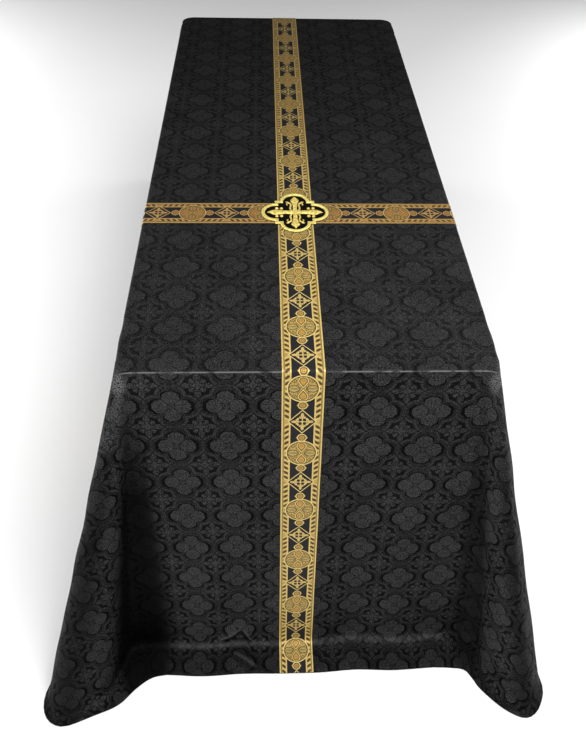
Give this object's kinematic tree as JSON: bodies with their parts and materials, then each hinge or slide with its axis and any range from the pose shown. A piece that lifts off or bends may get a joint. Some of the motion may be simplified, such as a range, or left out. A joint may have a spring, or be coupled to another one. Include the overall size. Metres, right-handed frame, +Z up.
{
  "type": "funeral pall on a bier table",
  "caption": "Large black damask pall hanging to the floor all round over a long plain table, with a cross of gold galloon bands and a sewn emblem where they meet.",
  "frame": {"origin": "on the floor, under the middle of the spread of cloth", "axes": "+Z up, +Y along the table towards its far end, so the front end is at -Y, +X across the table to the right as seen from the front"},
  "size_m": [1.2652, 2.5122, 0.8465],
  "materials": {
    "black_brocade": "black on black damask, soft sheen",
    "gold_galloon": "woven metallic braid",
    "black_velvet": "matte pile",
    "gold_embroidery": "satin gold thread",
    "plain_wood": "satin"
  },
  "bodies": {
    "root": {"pall": "black_brocade", "band_long": "gold_galloon", "band_cross_left": "gold_galloon", "band_cross_right": "gold_galloon", "emblem_ground": "black_velvet", "emblem_rim": "gold_embroidery", "emblem_cross": "gold_embroidery", "table_top": "plain_wood", "leg_front_left": "plain_wood", "leg_front_right": "plain_wood", "leg_back_left": "plain_wood", "leg_back_right": "plain_wood", "rail_left": "plain_wood", "rail_right": "plain_wood", "rail_front": "plain_wood", "rail_back": "plain_wood"}
  },
  "joints": []
}
